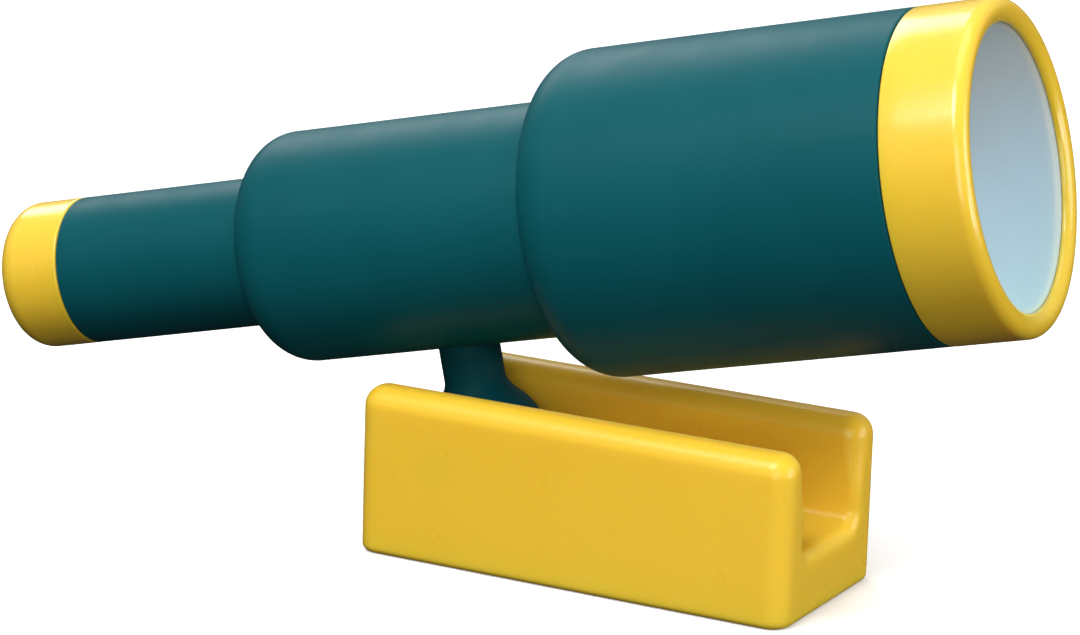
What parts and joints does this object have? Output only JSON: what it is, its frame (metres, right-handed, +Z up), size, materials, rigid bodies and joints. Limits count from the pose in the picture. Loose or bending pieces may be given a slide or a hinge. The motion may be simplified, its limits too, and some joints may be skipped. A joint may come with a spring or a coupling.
{
  "type": "playground telescope",
  "caption": "Toy telescope with a stepped plastic barrel that swivels on a ball-ended neck and tilts in a U-shaped rail bracket.",
  "frame": {"origin": "middle of the bracket's flat underside", "axes": "+Z up, +X along the bracket towards the objective end, +Y to the side with the capped bolt"},
  "size_m": [0.3705, 0.1187, 0.201],
  "materials": {
    "bracket_plastic": "soft gloss moulded polyethylene",
    "ring_plastic": "gloss moulded polyethylene",
    "barrel_plastic": "satin moulded polyethylene",
    "window": "pale translucent plastic",
    "bush_plastic": "acetal",
    "rubber": "matt rubber",
    "steel": "zinc plated"
  },
  "bodies": {
    "base": {"bracket": "bracket_plastic", "base_plate": "bracket_plastic", "base_screws": "steel", "mounting_sleeves": "steel", "tilt_bolt": "steel", "tilt_washer": "steel", "tilt_spring_washer": "steel", "tilt_nut": "steel", "bolt_cap": "bracket_plastic", "friction_washers": "rubber"},
    "neck": {"neck": "barrel_plastic", "knuckle_sleeve": "steel", "swivel_screw": "steel", "swivel_washer": "steel", "swivel_wave_washer": "steel"},
    "telescope": {"swivel_bush": "bush_plastic", "swivel_socket": "barrel_plastic", "middle_barrel": "barrel_plastic", "objective_barrel": "barrel_plastic", "eyepiece_barrel": "barrel_plastic", "objective_ring": "ring_plastic", "objective_window": "window", "objective_gasket": "rubber", "objective_retainer": "ring_plastic", "eyepiece_ring": "ring_plastic", "eyepiece_window": "window", "eyepiece_gasket": "rubber", "eyepiece_retainer": "ring_plastic"}
  },
  "joints": [
    {"name": "tilt", "type": "hinge", "parent": "base", "child": "neck", "pos_m": [-0.049, 0, 0.034], "axis": [0, -1, 0], "range_deg": [-7.5, 25]},
    {"name": "swivel", "type": "hinge", "parent": "neck", "child": "telescope", "pos_m": [-0.049, 0, 0.034], "axis": [-0.2215, 0, 0.9751], "range_deg": [-84.6, 75.4]}
  ]
}
